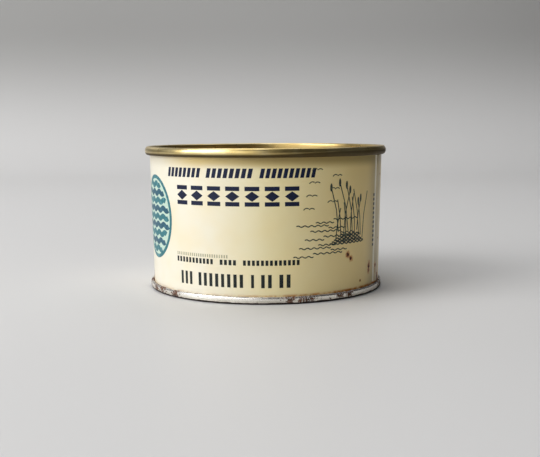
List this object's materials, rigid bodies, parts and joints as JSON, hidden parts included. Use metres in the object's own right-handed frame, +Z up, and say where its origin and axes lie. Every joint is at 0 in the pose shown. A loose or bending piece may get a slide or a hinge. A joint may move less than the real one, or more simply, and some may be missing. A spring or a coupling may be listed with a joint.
{
  "type": "oyster can",
  "caption": "Open round food can of tinplate: tapered enamelled body with a rolled rim and lapped side seam, gold-lacquered inside, double-seamed to a recessed bottom.",
  "frame": {"origin": "centre of the flat ring that the can stands on", "axes": "+Z up the can's axis, out of its open mouth; -Y towards the front of the print"},
  "size_m": [0.09, 0.09, 0.0523],
  "materials": {
    "body_enamel": "cream printing enamel on tinplate, semi-gloss, a little yellowed, with small rust spots",
    "end_tinplate": "bare tinplate, dull, with brown rust in the crease and patches along the seam",
    "gold_lacquer": "clear gold food lacquer over tinplate, glossy, on the inside and the rolled rim",
    "print_ink": "flat navy, teal and grey-green printing inks"
  },
  "bodies": {
    "root": {"can_body": "body_enamel", "can_end": "end_tinplate"}
  },
  "joints": []
}
